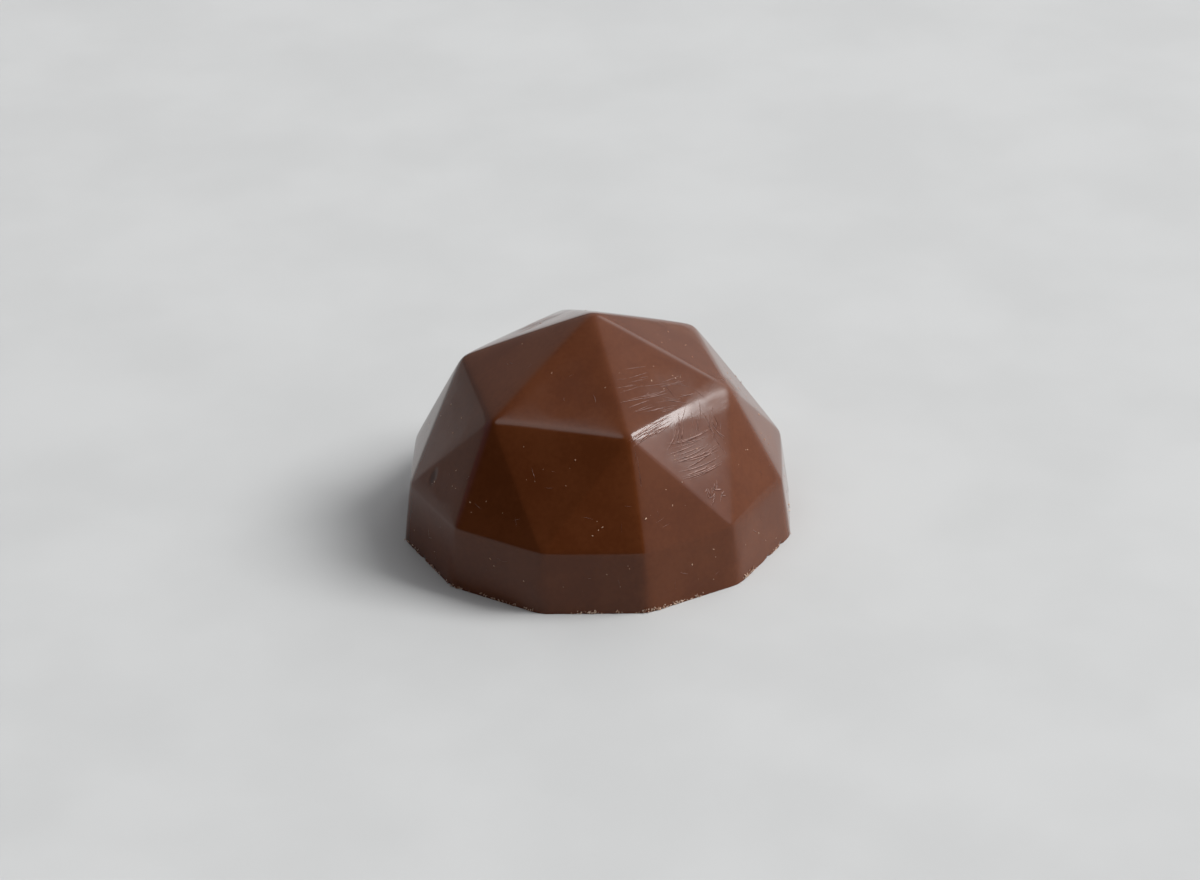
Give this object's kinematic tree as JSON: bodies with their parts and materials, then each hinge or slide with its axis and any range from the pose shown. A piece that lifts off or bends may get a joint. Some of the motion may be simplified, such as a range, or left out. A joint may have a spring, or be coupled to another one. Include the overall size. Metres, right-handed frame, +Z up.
{
  "type": "chocolate praline",
  "caption": "Solid moulded milk chocolate praline, a low rose-cut gem with star facets over a drafted band and a flat base to rest on.",
  "frame": {"origin": "middle of the flat base, on the surface that the praline stands on", "axes": "+Z up through the apex; -Y through one corner of the crown, so the shape is the same left and right of X = 0"},
  "size_m": [0.0318, 0.0318, 0.0181],
  "materials": {
    "chocolate": "tempered milk chocolate, glossy from the mould, with fine scuffs"
  },
  "bodies": {
    "root": {"praline": "chocolate"}
  },
  "joints": []
}
